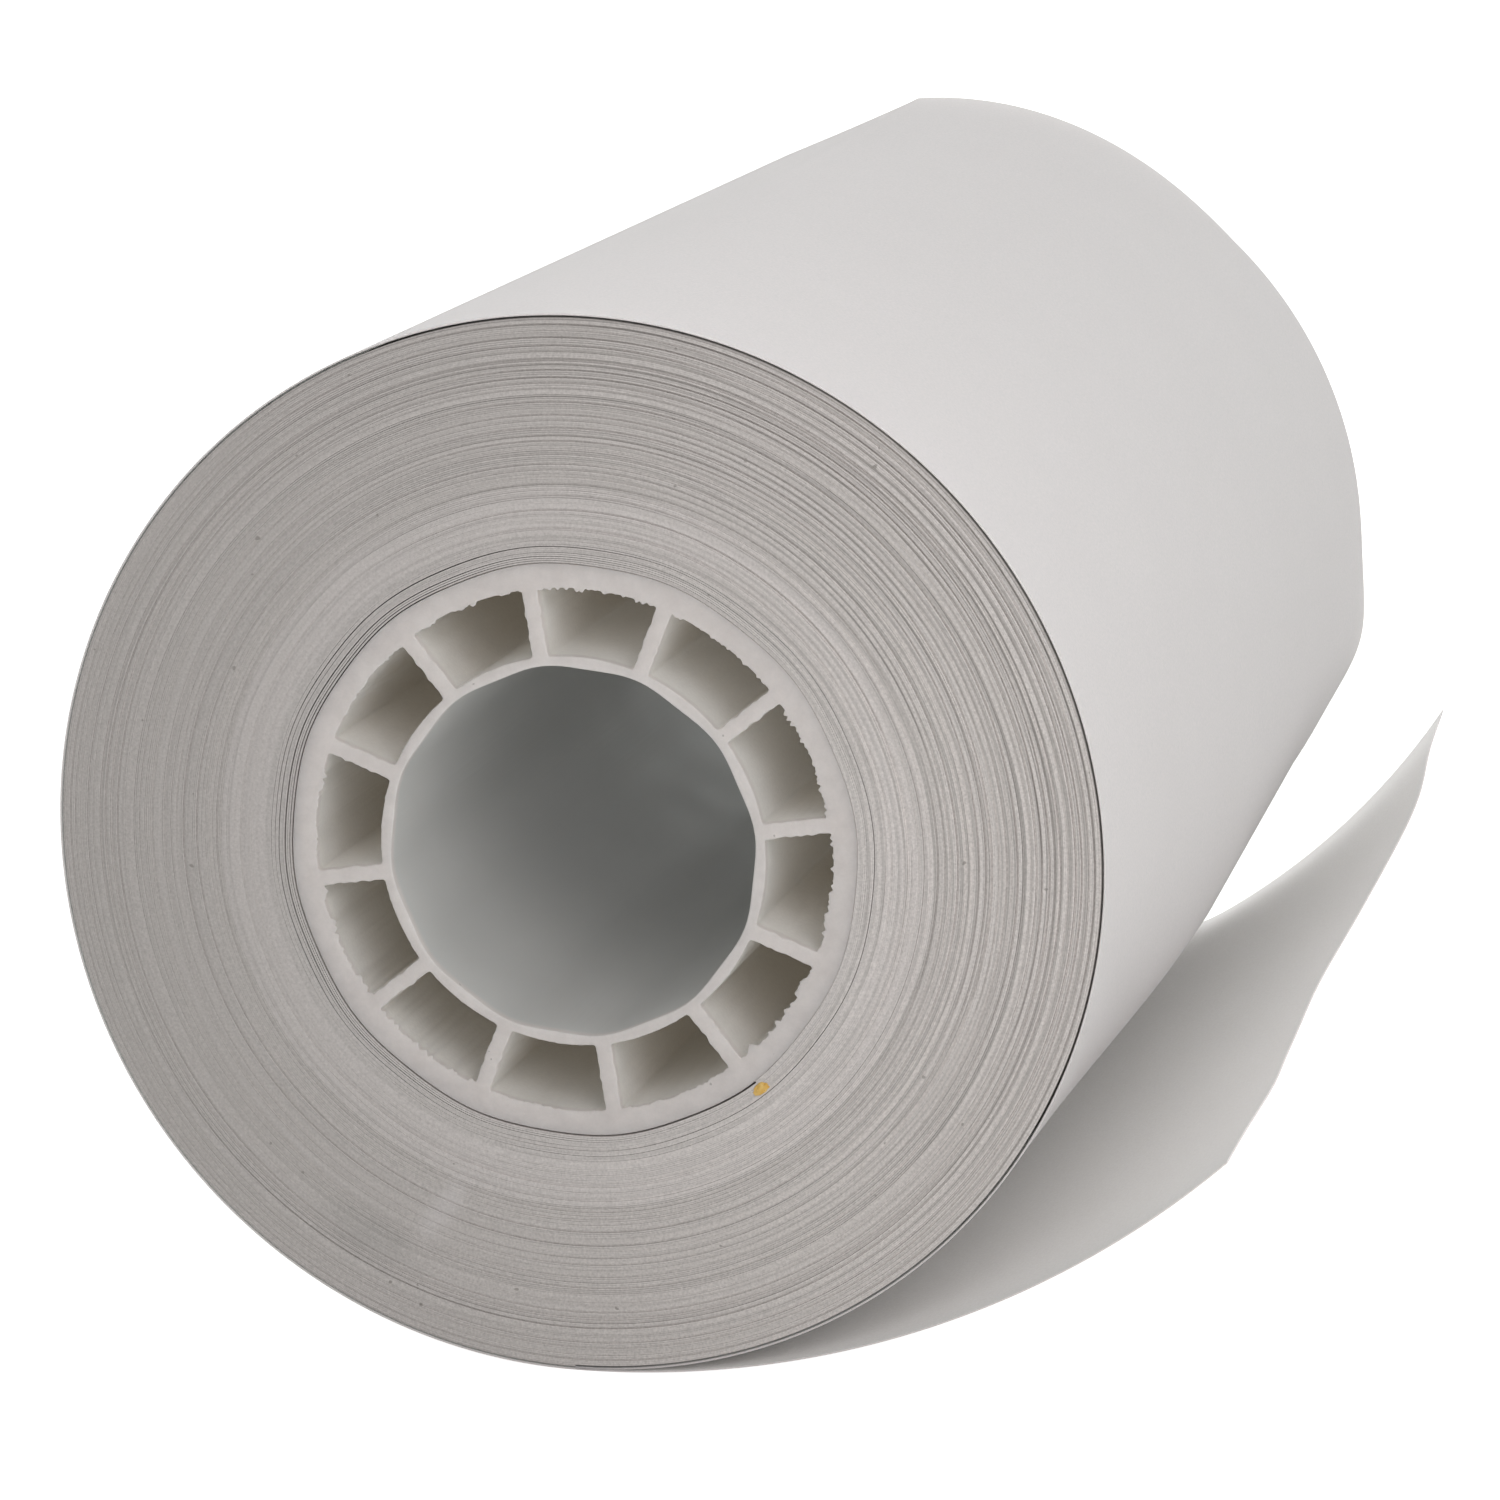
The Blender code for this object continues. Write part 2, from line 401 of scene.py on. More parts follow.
    def faces_axis(self):
        """1 on a surface that faces the roll's axis, and 0 on one that faces away from it."""
        place = self.add("ShaderNodeTexCoord")
        shift = self.add("ShaderNodeMapping")
        self.join(place.outputs["Object"], shift.inputs["Vector"])
        shift.inputs["Location"].default_value = (-AXIS_X, 0, -AXIS_Z)
        shift.inputs["Scale"].default_value = (1, 0, 1)
        along = self.add("ShaderNodeVectorMath", operation="DOT_PRODUCT")
        self.join(shift.outputs[0], along.inputs[0])
        self.join(place.outputs["Normal"], along.inputs[1])
        return self.span(along.outputs["Value"], -0.4 * MM, -2.0 * MM)

    def smudge(self, across, up, lean, length, breadth):
        """A soft patch on the roll's end, placed from the axis and leaning by an angle."""
        shift = self.add("ShaderNodeMapping", vector_type="TEXTURE")
        self.join(self.position(), shift.inputs["Vector"])
        shift.inputs["Location"].default_value = (AXIS_X + across, 0, AXIS_Z + up)
        shift.inputs["Rotation"].default_value = (0, -lean, 0)
        shift.inputs["Scale"].default_value = (length, 1.0, breadth)
        distance = self.add("ShaderNodeVectorMath", operation="LENGTH")
        self.join(shift.outputs[0], distance.inputs[0])
        ragged = self.plus(distance.outputs["Value"], self.noise(self.position(), 1400.0, 4.0))
        return self.span(ragged, 1.7, 0.6)


# ---------------------------------------------------------------- materials


def paper_material():
    """Smooth thin paper: faint mottling and fine fibres, warmer on its outer face; its inner face is paler
    and greener, as painted light for the shaded crease under the roll.
    """
    n = Nodes("paper")
    place = n.position()
    cloud = n.noise(place, 180.0)
    tooth = n.noise(place, 11000.0, 2.0, 0.7)
    fibre = n.noise(n.scaled(place, (1.0, 0.45, 1.0)), 5200.0, 3.0, 0.6)
    outer_face = n.tones(cloud, 0.35, 0.65, OUTER_FACE)
    # painted light: the inner face, which lies in the shaded crease under the roll, gets the paler, greener
    # tone
    inner_face_painted_light = n.tones(cloud, 0.35, 0.65, INNER_FACE_PAINTED_LIGHT)
    tone = n.mix(n.faces_axis(), outer_face, inner_face_painted_light)
    grained = n.mix(n.ramp(tooth, (0.30, 0.0), (0.70, 0.34)), tone, PAPER_TOOTH)
    n.join(grained, n.shader.inputs["Base Color"])
    n.join(n.ramp(cloud, (0.3, 0.60), (0.7, 0.68)), n.shader.inputs["Roughness"])
    n.set(specular_ior_level=0.3, subsurface_weight=0.78, subsurface_scale=0.3 * MM)
    n.set(subsurface_radius=(1.0, 1.0, 0.95))
    n.bump(fibre, 0.25, 0.02 * MM)
    return n.material


def wound_paper_material(name, colors):
    """Cut paper edges: fine rings painted as shadow lines between the turns, stronger where grazing light
    would show them, painted light that pales one side, a little dust, a lighter and a darker patch, and a
    few tiny dark specks.
    """
    light, dark = colors
    n = Nodes(name)
    place = n.position()
    radius = n.from_axis()

    # rings, painted as shadow lines between the turns: uneven ones, and a regular beat on the side where
    # grazing light would show them most, where all of them are strongest
    facing = n.span(n.toward(PAINTED_SHADOW_LINES_SIDE), -0.35 * ROLL_RADIUS, 0.9 * ROLL_RADIUS)
    bend = n.times(n.noise(place, 110.0, 2.0), RING_BEND)
    rings = n.add("ShaderNodeTexNoise", noise_dimensions="1D")
    n.join(n.plus(n.times(radius, RINGS_PER_METRE), bend), rings.inputs["W"])
    rings.inputs["Scale"].default_value = 1.0
    rings.inputs["Detail"].default_value = 1.5
    beat = n.math("SINE", n.plus(n.times(radius, tau / RING_PITCH), n.times(bend, 2.0)))
    ringing = n.plus(rings.outputs["Fac"], n.times(n.times(beat, facing), BEAT_STRENGTH))
    strength = n.plus(n.times(facing, 0.55), 0.25)
    painted_shadow_lines = n.times(n.ramp(ringing, (0.36, 1.0), (0.56, 0.0)), strength)

    # paper: paler toward one side and darker toward the other as painted light, dusty and finely grained
    pale = n.span(n.toward(PAINTED_LIGHT_SIDE), -ROLL_RADIUS, ROLL_RADIUS)
    painted_light_ground = n.mix(pale, *(tuple(share * c for c in light) for share in PAINTED_LIGHT_RANGE))
    dust = n.noise(place, 300.0, 4.0, 0.65)
    dusty = n.mix(n.ramp(dust, (0.35, 0.0), (0.75, 0.35)), n.mix(painted_shadow_lines, painted_light_ground, dark), painted_light_ground)
    tooth = n.noise(place, 12000.0, 2.0, 0.7)
    grained = n.mix(n.ramp(tooth, (0.30, 0.0), (0.70, 0.40)), dusty, tuple(0.62 * c for c in dark))

    # a lighter and a darker patch, low and to the left on the roll's end
    lighter_patch = n.times(n.smudge(-4.2 * MM, -11.6 * MM, radians(55), 1.7 * MM, 0.55 * MM), 0.30)
    darker_patch = n.times(n.smudge(-6.6 * MM, -12.6 * MM, radians(-25), 2.2 * MM, 1.0 * MM), 0.22)
    patched = n.mix(darker_patch, n.mix(lighter_patch, grained, LIGHTER_PATCH_TONE), DARKER_PATCH_TONE)
    speck = n.ramp(n.noise(place, 2700.0, 1.0), (0.79, 0.0), (0.80, 1.0))
    n.join(n.mix(n.times(speck, 0.6), patched, EDGE_SPECK), n.shader.inputs["Base Color"])
    n.set(roughness=0.85, specular_ior_level=0.2)
    n.bump(n.noise(place, 7000.0, 3.0, 0.6), 0.5, 0.02 * MM)
    return n.material


def core_material():
    """Milky extruded plastic, sawn and grainy on its ends, its cell walls brighter and warmer as painted
    light and its bore darker and cooler as painted shade.
    """
    n = Nodes("core_plastic")
    place = n.position()
    radius = n.from_axis()
    from_end = n.from_end()
    inward = n.span(from_end, 0.04 * MM, 0.5 * MM)
    off_bore = n.span(radius, BORE_RADIUS + 0.08 * MM, BORE_RADIUS + 0.14 * MM)

    cloud = n.noise(place, 420.0, 4.0)
    chatter = n.noise(place, 1500.0, 4.0, 0.65)
    # painted light and shade: brighter, warmer cell walls and a darker, cooler bore
    walls = n.mix(off_bore, n.mix(cloud, *BORE_WALL_PAINTED_SHADE), n.mix(cloud, *CELL_WALL_PAINTED_LIGHT))
    colored = n.mix(inward, n.tones(chatter, 0.32, 0.62, SAWN_PLASTIC), walls)
    tooth = n.noise(place, 9000.0, 2.0, 0.7)
    grained = n.mix(n.ramp(tooth, (0.30, 0.0), (0.70, 0.22)), colored, PLASTIC_TOOTH)
    speck = n.ramp(n.noise(place, 3000.0, 1.0), (0.785, 0.0), (0.80, 1.0))
    on_end = n.math("SUBTRACT", 1.0, inward)
    specked = n.mix(n.times(n.times(speck, 0.5), on_end), grained, PLASTIC_SPECK)
    n.join(specked, n.shader.inputs["Base Color"])
    n.join(n.ramp(cloud, (0.3, 0.46), (0.7, 0.58)), n.shader.inputs["Roughness"])
    n.set(subsurface_weight=0.6, subsurface_radius=(1.0, 0.94, 0.88), subsurface_scale=1.5 * MM)

    # light through the thin walls, in the bore and deep in the cells
    in_cells = n.times(off_bore, n.span(radius, CORE_RADIUS, CORE_RADIUS - OUTER_TUBE_WALL / 2))
    cell_light = n.times(n.times(in_cells, n.span(from_end, 0.3 * MM, 4.0 * MM)), THROUGH_STRENGTH)
    bore_light = n.times(n.math("SUBTRACT", 1.0, off_bore), THROUGH_STRENGTH)
    n.join(n.mix(off_bore, THROUGH_BORE, THROUGH_CELLS), n.shader.inputs["Emission Color"])
    n.join(n.plus(cell_light, bore_light), n.shader.inputs["Emission Strength"])
    n.material.cycles.emission_sampling = "NONE"

    n.bump(n.noise(n.scaled(place, (1.0, 0.02, 1.6)), 3800.0, 4.0, 0.6), 0.35, 0.03 * MM)
    return n.material


def glue_material():
    n = Nodes("yellow_glue")
    blotch = n.noise(n.position(), 6000.0)
    n.join(n.tones(blotch, 0.3, 0.7, GLUE), n.shader.inputs["Base Color"])
    n.set(roughness=0.35)
    n.bump(blotch, 0.3, 0.03 * MM)
    return n.material


# ---------------------------------------------------------------- the core


def polar(radius, angle):
    return (radius * cos(angle), radius * sin(angle))


def ring_outline(radius, scallop):
    """A round outline that is flattened a little between the ribs."""
    angles = [tau * i / RING_STEPS for i in range(RING_STEPS)]
    return np.array(
        [polar(radius + scallop * cos(RIB_COUNT * (a - FIRST_RIB_ANGLE)), a) for a in angles]
    )


def rounded(outline, reach):
    """The same closed outline with even points and soft corners."""
    closed = np.vstack([outline, outline[:1]])
    along = np.concatenate([[0.0], np.cumsum(np.linalg.norm(np.diff(closed, axis=0), axis=1))])
    count = int(along[-1] / OUTLINE_STEP)
    places = np.arange(count) * along[-1] / count
    even = np.stack([np.interp(places, along, closed[:, k]) for k in (0, 1)], axis=1)
    away = np.minimum(places, along[-1] - places)
    kernel = np.exp(-((away / reach) ** 2))
    kernel /= kernel.sum()
    soft = [np.fft.ifft(np.fft.fft(even[:, k]) * np.fft.fft(kernel)).real for k in (0, 1)]
    return np.stack(soft, axis=1)


def cell_outline(rib_angle):
    """One opening between two ribs."""
    pitch = tau / RIB_COUNT
    outline = []
    for radius, first, last in ((CELL_INNER, 0, 1), (CELL_OUTER, 1, 0)):
        margin = RIB_THICKNESS / 2 / radius
        ends = (rib_angle + margin, rib_angle + pitch - margin)
        outline += [polar(radius, a) for a in np.linspace(ends[first], ends[last], 40)]
    return rounded(np.array(outline), CELL_CORNER)


def outward(outline):
    """Unit normals of a closed outline, pointing away from its middle."""
    along = np.roll(outline, -1, axis=0) - np.roll(outline, 1, axis=0)
    normal = np.stack([along[:, 1], -along[:, 0]], axis=1)
    normal /= np.linalg.norm(normal, axis=1)[:, None]
    middle = outline.mean(axis=0)
    if ((outline - middle) * normal).sum() < 0:
        normal = -normal
    return normal


def burred(outline, seed):
    """The sawn outline of a cell: burrs lean into it, mostly from the outer tube, and its ribs are torn."""
    radius = np.linalg.norm(outline, axis=1)
    share = np.clip((radius - CELL_INNER) / (CELL_OUTER - CELL_INNER), 0, 1)
    rim_burr = LEAST_RIM_BURR + RIM_BURR_SPREAD * (0.5 + 0.5 * noise.noise((seed * 4.7, 0.3, 0.9))) ** 2
    reach = BORE_BURR * (1 - share) ** 4 - rim_burr * share**4
    depth, drag = [], []
    for x, y in outline:
        fine = noise.noise((x * 7500, y * 7500, seed * 7.3))
        coarse = noise.noise((x * 1700, y * 1700, seed * 3.1))
        depth.append(max(0.0, 0.15 + 1.2 * fine + 1.5 * coarse))
        drag.append(noise.noise((x * 4200, y * 4200, seed * 5.9)))
    radial = outline / radius[:, None]
    around = np.stack([-radial[:, 1], radial[:, 0]], axis=1)
    torn = RIB_BURR * np.sin(pi * share) * np.array(drag)
    return outline + radial * (reach * np.array(depth))[:, None] + around * torn[:, None]


def inside(points, outline):
    """Which points lie inside a closed outline, by crossing count."""
    x, y = points[:, :1], points[:, 1:]
    x0, y0 = outline[:, 0], outline[:, 1]
    x1, y1 = np.roll(x0, -1), np.roll(y0, -1)
    crosses = (y0 > y) != (y1 > y)
    with np.errstate(divide="ignore", invalid="ignore"):
        at = x0 + (y - y0) * (x1 - x0) / (y1 - y0)
    return (np.where(crosses, x < at, False).sum(axis=1) % 2) == 1


def core_layers():
    """The core's outlines (outer, bore, then each cell) at each depth from its front end."""
    smooth = [ring_outline(CORE_RADIUS - CORE_CLEARANCE, OUTER_SCALLOP)]
    smooth.append(ring_outline(BORE_RADIUS, BORE_SCALLOP))
    smooth += [cell_outline(FIRST_RIB_ANGLE + tau * i / RIB_COUNT) for i in range(RIB_COUNT)]
    rough = [smooth[0], smooth[1]]
    rough += [burred(outline, seed) for seed, outline in enumerate(smooth[2:], start=1)]
    widen = [-RIM_CHAMFER_SHARE] + [1.0] * (RIB_COUNT + 1)
    face = [r + outward(o) * SAWN_EDGE * sign for r, o, sign in zip(rough, smooth, widen)]
    halfway = [(a + b) / 2 for a, b in zip(rough, smooth)]
    return [
        (0.0, face),
        (SAWN_EDGE, rough),
        (BURR_DEPTH, halfway),
        (BURR_END, smooth),
        (WEB_WIDTH - BURR_END, smooth),
        (WEB_WIDTH - BURR_DEPTH, halfway),
        (WEB_WIDTH - SAWN_EDGE, rough),
        (WEB_WIDTH, face),
    ]


def end_triangles(outlines, edges):
    """Triangles that fill the first outline and leave the others open."""
    flat = np.concatenate(outlines) / MM
    found = delaunay_2d_cdt([Vector(p) for p in flat], edges, [], 0, 1e-6)
    sources, triangles = found[3], found[2]
    corners = np.array([[sources[v][0] for v in triangle] for triangle in triangles])
    middles = flat[corners].mean(axis=1)
    keep = inside(middles, outlines[0] / MM)
    for hole in outlines[1:]:
        keep &= ~inside(middles, hole / MM)
    return corners[keep]


def make_core(material):
    """The extrusion as one closed mesh: sawn ends with burrs, and smooth walls between them."""
    layers = core_layers()
    face = layers[0][1]
    starts = np.cumsum([0] + [len(outline) for outline in face])
    count = int(starts[-1])
    edges = []
    for start, outline in zip(starts, face):
        size = len(outline)
        edges += [(int(start + i), int(start + (i + 1) % size)) for i in range(size)]
    points = []
    for depth, outlines in layers:
        for x, z in np.concatenate(outlines):
            points.append((AXIS_X + x, FRONT_Y + depth, AXIS_Z + z))
    faces = []
    for near in range(0, (len(layers) - 1) * count, count):
        far = near + count
        faces += [(near + a, near + b, far + b, far + a) for a, b in edges]
    last = (len(layers) - 1) * count
    for a, b, c in end_triangles(face, edges):
        faces.append((int(a), int(b), int(c)))
        faces.append((int(last + c), int(last + b), int(last + a)))
    core = mesh_object("core_extrusion", points, faces, radians(35))
    rebuilt = bmesh.new()
    rebuilt.from_mesh(core.data)
    bmesh.ops.recalc_face_normals(rebuilt, faces=rebuilt.faces)
    rebuilt.to_mesh(core.data)
    rebuilt.free()
    finish_piece(core, "roll", "core_plastic", material, "core")


def make_glue(material):
    """A dried drop of glue, squeezed out between the core and the first turns."""
    low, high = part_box("core_glue")
    angle = atan2((low.z + high.z) / 2 - AXIS_Z, (low.x + high.x) / 2 - AXIS_X)
    half_across, half_along, half_out = GLUE_HALF
    drop = bmesh.new()
    bmesh.ops.create_icosphere(drop, subdivisions=5, radius=1.0)
    for vert in drop.verts:
        direction = vert.co.copy()
        lump = 1.0 + 0.35 * noise.noise(direction * 1.7) + 0.12 * noise.noise(direction * 5.0)
        radius = CORE_RADIUS + GLUE_OUT_FROM_CORE + direction.x * half_across * lump
        along = direction.z * half_along * lump
        out = direction.y * half_out * lump
        x = AXIS_X + radius * cos(angle) - along * sin(angle)
        z = AXIS_Z + radius * sin(angle) + along * cos(angle)
        vert.co = (x, FRONT_Y + out, z)
    mesh = bpy.data.meshes.new("glue_drop")
    drop.to_mesh(mesh)
    drop.free()
    mesh.shade_smooth()
    glue = link(bpy.data.objects.new("glue_drop", mesh))
    finish_piece(glue, "roll", "yellow_glue", material, "core_glue")


# ---------------------------------------------------------------- the wound web


def stepped_wander(places, mean_run, blur, rng):
    """A value that holds for a random run of turns and then changes, along the whole web."""
    knots = np.cumsum(rng.exponential(mean_run, int(4 * places[-1] / mean_run) + 8))
    values = rng.normal(0.0, 1.0, len(knots) + 1)
    held = values[np.searchsorted(knots, places)]
    window = max(1, int(blur / (places[1] - places[0])))
    kernel = np.hanning(window + 2)
    padded = np.pad(held, window, mode="edge")
    return np.convolve(padded, kernel / kernel.sum(), mode="same")[window:-window]


def recesses(turn, angle, rng):
    """How far single turns sit back between bundles of flush ones, which draws rings on the roll's end."""
    starts = np.cumsum(rng.uniform(SHORTEST_BUNDLE, LONGEST_BUNDLE, int(TOTAL_TURNS / SHORTEST_BUNDLE)))
    depths = rng.uniform(0.35, 1.0, len(starts))
    which = np.searchsorted(starts, turn) - 1
    within = turn - starts[which]
    rise = np.clip(within / RECESS_STEP, 0, 1)
    fall = np.clip((1.0 + RECESS_STEP - within) / RECESS_STEP, 0, 1)
    held = np.where(which >= 0, depths[which] * rise * fall, 0.0)
    facing = 0.30 + 0.70 * (0.5 + 0.5 * np.cos(angle - RECESS_SIDE)) ** 1.5
    return held * facing


def wind_web():
    """The web's radius, angle and sideways wander at every step along it, from core to outside."""
    rng = np.random.default_rng(7)
    steps = int(round(TOTAL_TURNS * STEPS_PER_TURN)) + 1
    turn = np.arange(steps) / STEPS_PER_TURN
    angle = START_ANGLE + tau * turn
    start = CORE_RADIUS + WEB_CLEARANCE
    end = WINDING_RADIUS - PAPER
    pitch = (end - start) / TOTAL_TURNS
    slack = pitch - PAPER
    gap = slack * np.clip(1.0 + GAP_VARIATION * stepped_wander(turn, 1.3, 0.2, rng), 0.05, None)
    for loose, side, size, spread in LOOSE_PLACES:
        place = loose + ((radians(side) - START_ANGLE) % tau) / tau
        gap = gap + size * MM * np.exp(-(((turn - place) / spread) ** 2))
    scallop = OUTER_SCALLOP * np.cos(RIB_COUNT * (angle - FIRST_RIB_ANGLE))
    radius = np.empty(steps)
    first = slice(0, STEPS_PER_TURN)
    rise = PAPER + gap[STEPS_PER_TURN]
    radius[first] = start + rise * turn[first] + scallop[first]
    ideal = start + pitch * turn + scallop * np.exp(-turn / SCALLOP_FADE)
    for i in range(STEPS_PER_TURN, steps):
        inner = radius[i - STEPS_PER_TURN] + PAPER
        pull = GAP_PULL * (ideal[i] - inner - slack)
        radius[i] = inner + max(LEAST_GAP, gap[i] + pull)
    grown = np.clip(turn / TOTAL_TURNS, 0, 1)
    wander = (RECESS_AT_CORE + RECESS_GROWTH * grown) * recesses(turn, angle, rng)
    for size, run, blur in WANDERS:
        wander += size * stepped_wander(turn, run, blur, rng)
    return turn, angle, radius, wander


def make_wound_piece(name, node, web, first_turn, last_turn, material):
    """A stretch of the web as a real spiral ribbon, the full width of the roll."""
    turn, angle, radius, wander = web
    chosen = (turn >= first_turn) & (turn <= last_turn)
    a, r, w = angle[chosen], radius[chosen], wander[chosen]
    rows = len(a)
    points = np.empty((rows, 4, 3))
    for corner, (out, end) in enumerate(((0, FRONT_Y), (PAPER, FRONT_Y), (PAPER, REAR_Y), (0, REAR_Y))):
        points[:, corner, 0] = AXIS_X + (r + out) * np.cos(a)
        points[:, corner, 1] = end + w
        points[:, corner, 2] = AXIS_Z + (r + out) * np.sin(a)
    base = 4 * np.arange(rows - 1)[:, None]
    sides = [(k, (k + 1) % 4, (k + 1) % 4 + 4, k + 4) for k in range(4)]
    quads = np.concatenate([base + np.array(side) for side in sides])
    top = 4 * (rows - 1)
    quads = np.concatenate([quads, [[3, 2, 1, 0], [top, top + 1, top + 2, top + 3]]])
    piece = quad_mesh_object(name, points.reshape(-1, 3), quads, radians(40))
    finish_piece(piece, "roll", "wound_paper", material, node)


# ---------------------------------------------------------------- the last turn and the tail


def arc_from(start, slope, radius, length):
    """The end of an arc that starts at a point and a slope, and the slope there."""
    turned = slope + length / radius
    x = start[0] + radius * (sin(turned) - sin(slope))
    z = start[1] + radius * (cos(slope) - cos(turned))
    return (x, z), turned


def front_edge(share):
    return arc_from((0, 0), 0, TAIL_FRONT_ARC, share * TAIL_FRONT_ARC * TAIL_FRONT_SLOPE)[0]


def rear_edge(share):
    turn = TAIL_REAR_TURN_ARC * TAIL_REAR_TURN_SLOPE
    rise = TAIL_REAR_ARC * (TAIL_REAR_SLOPE - TAIL_REAR_TURN_SLOPE)
    length = share * (TAIL_REAR_FLAT + turn + rise)
    if length <= TAIL_REAR_FLAT:
        return (length, 0)
    length -= TAIL_REAR_FLAT
    lifted, slope = arc_from((TAIL_REAR_FLAT, 0), 0, TAIL_REAR_TURN_ARC, min(length, turn))
    if length <= turn:
        return lifted
    return arc_from(lifted, slope, TAIL_REAR_ARC, length - turn)[0]


def hump(value, middle, reach):
    return exp(-(((value - middle) / reach) ** 2))


def looseness(angle, across):
    """How far the outermost turn stands off the coil, which is tight in front and slack behind."""
    degrees = (angle * 180 / pi + 90) % 360 - 90
    slack = 0.0
    if LIFT_PEAK < degrees < LIFT_END:
        slack = ROLL_RADIUS * (1 / cos(radians(LIFT_END - degrees)) - 1) * CHORD_SHARE
    elif LIFT_START < degrees <= LIFT_PEAK:
        risen = (degrees - LIFT_START) / (LIFT_PEAK - LIFT_START)
        slack = LIFT_HEIGHT * sin(radians(90 * risen)) ** 1.35
    rear = slack + LOW_LIFT * hump(degrees, LOW_LIFT_PEAK, LOW_LIFT_REACH)
    swell = sin(pi / 2 * min(1.0, across / SWELL_RISE)) ** 2
    swell *= min(1.0, (SWELL_LAST - across) / SWELL_RISE)
    middle = SWELL * hump(degrees, SWELL_PEAK, SWELL_REACH) * max(0.0, swell)
    return rear * across**1.5 + middle


def cut_end(across):
    """The tail's length at each place across it, as a share of its nominal length, for the uneven cut."""
    return 1 + sum(size * hump(across, middle, reach) for size, middle, reach in CUT_HUMPS)


def tail_point(share, across):
    share *= cut_end(across)
    front, rear = front_edge(share), rear_edge(share)
    curl = across**TAIL_REAR_CURL
    x = AXIS_X + ROLL_RADIUS * (front[0] + (rear[0] - front[0]) * curl)
    z = ROLL_RADIUS * (front[1] + (rear[1] - front[1]) * curl)
    return (x, FRONT_Y + WEB_WIDTH * across, z + PAPER / 2)


def turn_point(share, across):
    angle = BOTTOM_ANGLE + tau * share
    away = ROLL_RADIUS - PAPER / 2 - PAPER * (1 - share) + looseness(angle, across)
    return (AXIS_X + away * cos(angle), FRONT_Y + WEB_WIDTH * across, AXIS_Z + away * sin(angle))


def make_loose_sheet(material):
    """The outermost turn and the free tail, as the one thin sheet that they are."""
    across = [i / SHEET_COLUMNS for i in range(SHEET_COLUMNS + 1)]
    points = [turn_point(i / SHEET_TURN_ROWS, w) for i in range(SHEET_TURN_ROWS) for w in across]
    points += [tail_point(i / SHEET_TAIL_ROWS, w) for i in range(SHEET_TAIL_ROWS + 1) for w in across]
    size = len(across)
    faces = []
    for i in range(SHEET_TURN_ROWS + SHEET_TAIL_ROWS):
        for k in range(size - 1):
            corner = i * size + k
            faces.append((corner, corner + size, corner + size + 1, corner + 1))
    sheet = mesh_object("last_turn_and_tail", points, faces, radians(60))
    sheet.data.materials.append(material)
    solidify = sheet.modifiers.new("paper", "SOLIDIFY")
    solidify.thickness = PAPER
    solidify.offset = 0.0
    bpy.context.view_layer.update()
    solid = bpy.data.meshes.new_from_object(sheet.evaluated_get(bpy.context.evaluated_depsgraph_get()))
    sheet.modifiers.clear()
    sheet.data = solid
    solid.set_sharp_from_angle(angle=radians(60))
    finish_piece(sheet, None, "paper", material, "last_wrap", "tail")
    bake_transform(sheet)


# ---------------------------------------------------------------- studio


def stage_piece(name, material):
    """The mesh that was just added becomes a named piece of the studio."""
    piece = bpy.context.object
    piece.name = name
    piece.data.materials.append(material)
    return piece


def camera_only(obj):
    for ray in ("diffuse", "glossy", "transmission", "volume_scatter", "shadow"):
        setattr(obj, "visible_" + ray, False)


def white_shine(name, strength, clear):
    """A white glow, laid over what lies behind it when it is clear."""
    material = bpy.data.materials.new(name)
    material.use_nodes = True
    material.cycles.emission_sampling = "NONE"
    tree = material.node_tree
    tree.nodes.clear()
    out = tree.nodes.new("ShaderNodeOutputMaterial")
    shine = tree.nodes.new("ShaderNodeEmission")
    shine.inputs["Strength"].default_value = strength
    if not clear:
        tree.links.new(shine.outputs[0], out.inputs["Surface"])
        return material
    both = tree.nodes.new("ShaderNodeAddShader")
    tree.links.new(tree.nodes.new("ShaderNodeBsdfTransparent").outputs[0], both.inputs[0])
    tree.links.new(shine.outputs[0], both.inputs[1])
    tree.links.new(both.outputs[0], out.inputs["Surface"])
    return material


def make_floor():
    """A pale floor that is lit from inside a little, as a light table is."""
    n = Nodes("pale_floor")
    cloud = n.noise(n.position(), 30.0)
    n.join(n.tones(cloud, 0.3, 0.7, FLOOR), n.shader.inputs["Base Color"])
    n.set(roughness=0.9, specular_ior_level=0.1)
    n.set(emission_color=(1.0, 1.0, 0.99, 1.0), emission_strength=FLOOR_GLOW)
    n.material.cycles.emission_sampling = "NONE"
    bpy.ops.mesh.primitive_plane_add(size=FLOOR_SIZE, location=(0, 0, -FLOOR_DROP))
    stage_piece("floor", n.material)


def make_white_surround():
    """A veil on the floor and a dome that only the camera sees, as an overexposed white sweep gives."""
    bpy.ops.mesh.primitive_plane_add(size=FLOOR_SIZE, location=(0, 0, -FLOOR_DROP / 2))
    camera_only(stage_piece("floor_veil", white_shine("white_veil", FLOOR_VEIL, clear=True)))
    bpy.ops.mesh.primitive_uv_sphere_add(segments=48, ring_count=24, radius=DOME_RADIUS)
    camera_only(stage_piece("white_dome", white_shine("white_dome", 1.0, clear=False)))


def add_lamp(name, kind, toward, power, color, **settings):
    """A lamp whose light comes from a direction."""
    data = bpy.data.lights.new(name, kind)
    data.energy = power
    data.color = color
    for key, value in settings.items():
        setattr(data, key, value)
    lamp = link(bpy.data.objects.new(name, data))
    lamp.rotation_euler = Vector(toward).to_track_quat("Z", "Y").to_euler()
    return lamp


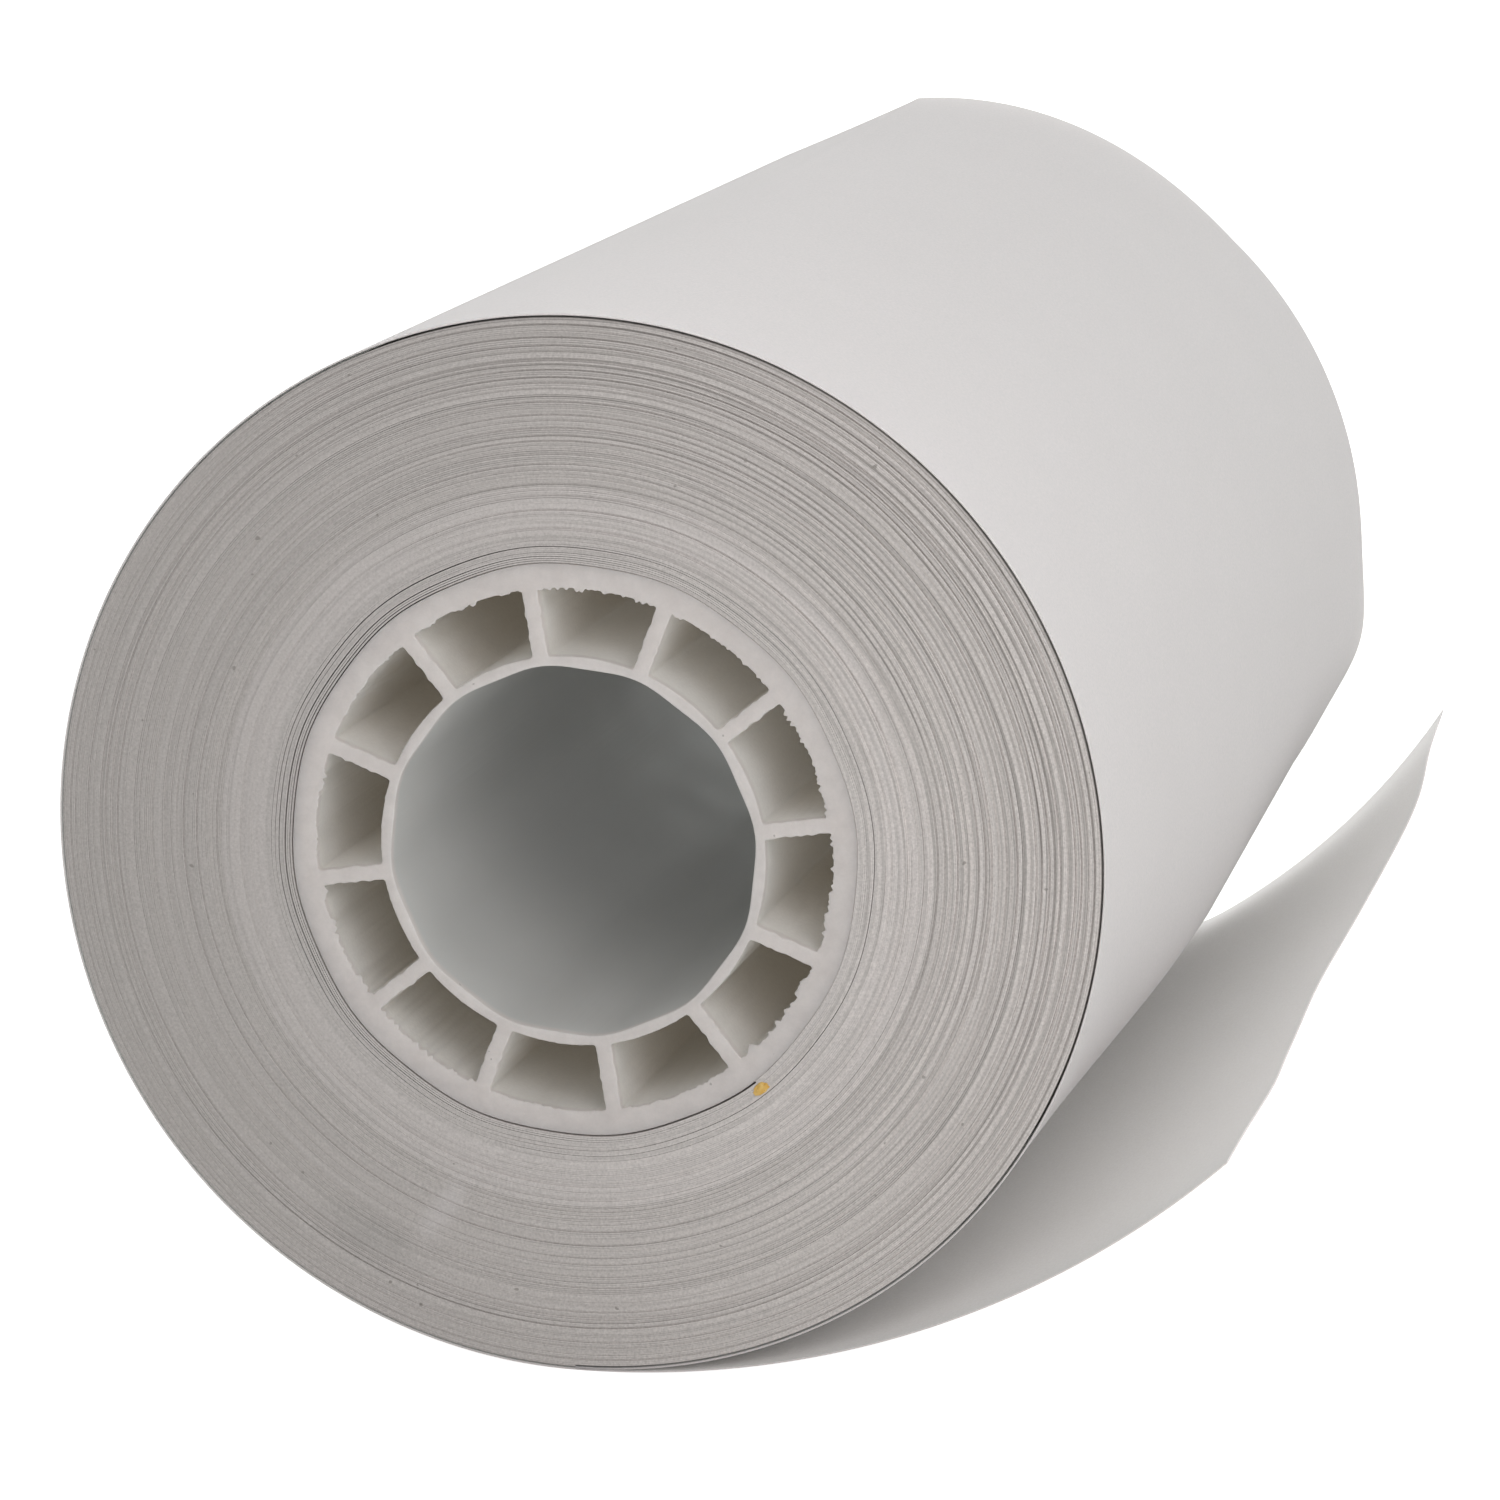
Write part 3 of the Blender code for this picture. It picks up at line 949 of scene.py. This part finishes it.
def make_world():
    """A white tent round the roll: brightest behind it, dimmer to its right and above, faint elsewhere."""
    world = bpy.data.worlds.new("studio")
    world.use_nodes = True
    tree = world.node_tree
    background = tree.nodes["Background"]
    background.inputs["Color"].default_value = TENT_COLOR
    split = tree.nodes.new("ShaderNodeSeparateXYZ")
    tree.links.new(tree.nodes.new("ShaderNodeTexCoord").outputs["Generated"], split.inputs[0])
    total = None
    for axis, strength in (("X", TENT_RIGHT), ("Y", TENT_BACK), ("Z", TENT_TOP)):
        clipped = tree.nodes.new("ShaderNodeMath")
        clipped.operation = "MAXIMUM"
        clipped.inputs[1].default_value = 0.0
        tree.links.new(split.outputs[axis], clipped.inputs[0])
        scaled = tree.nodes.new("ShaderNodeMath")
        scaled.operation = "MULTIPLY_ADD"
        scaled.inputs[1].default_value = strength
        scaled.inputs[2].default_value = TENT_LEAST
        tree.links.new(clipped.outputs[0], scaled.inputs[0])
        if total:
            tree.links.new(total, scaled.inputs[2])
        total = scaled.outputs[0]
    tree.links.new(total, background.inputs["Strength"])
    bpy.context.scene.world = world


def make_studio():
    make_world()
    add_lamp("rear_softbox", "SUN", *REAR_SOFTBOX, angle=REAR_SPREAD)
    add_lamp("left_softbox", "SUN", *LEFT_SOFTBOX, angle=LEFT_SPREAD)
    toward = Vector(CARD_PLACE) - Vector(CARD_AIM)
    card = add_lamp("side_card", "AREA", toward, CARD_POWER, CARD_COLOR, size=CARD_SIZE)
    card.location = CARD_PLACE
    make_floor()
    make_white_surround()


def make_camera():
    camera = link(bpy.data.objects.new("camera", bpy.data.cameras.new("camera")))
    aim = Vector((AXIS_X, 0, 0)) + ROLL_RADIUS * Vector(CAMERA_AIM)
    level = cos(CAMERA_ELEVATION)
    back = Vector((sin(CAMERA_AZIMUTH) * level, -cos(CAMERA_AZIMUTH) * level, sin(CAMERA_ELEVATION)))
    camera.location = aim + CAMERA_DISTANCE * ROLL_RADIUS * back
    camera.rotation_euler = back.to_track_quat("Z", "Y").to_euler()
    camera.data.lens = CAMERA_LENS
    camera.data.sensor_width = 36.0
    camera.data.clip_start = 0.005
    bpy.context.scene.camera = camera


# ---------------------------------------------------------------- the whole


def make_roll():
    make_core(core_material())
    make_glue(glue_material())
    web = wind_web()
    turn, _, radius, _ = web
    reached = np.maximum.accumulate(radius)
    first_end = turn[np.searchsorted(reached, FIRST_TURNS_RADIUS)]
    inner_end = turn[np.searchsorted(reached, INNER_COIL_RADIUS)]
    near_core = wound_paper_material("first_turn_edges", FIRST_TURN_EDGES)
    band = wound_paper_material("inner_coil_edges", INNER_COIL_EDGES)
    edges = wound_paper_material("coil_edges", COIL_EDGES)
    make_wound_piece("first_turns_ribbon", "first_turns", web, 0, first_end, near_core)
    make_wound_piece("inner_coil_turns", "inner_coil", web, first_end, inner_end, band)
    make_wound_piece("main_coil_turns", "main_coil", web, inner_end, turn[-1], edges)
    make_loose_sheet(paper_material())


bpy.context.scene.view_settings.view_transform = "Standard"
make_camera()
make_roll()
make_studio()
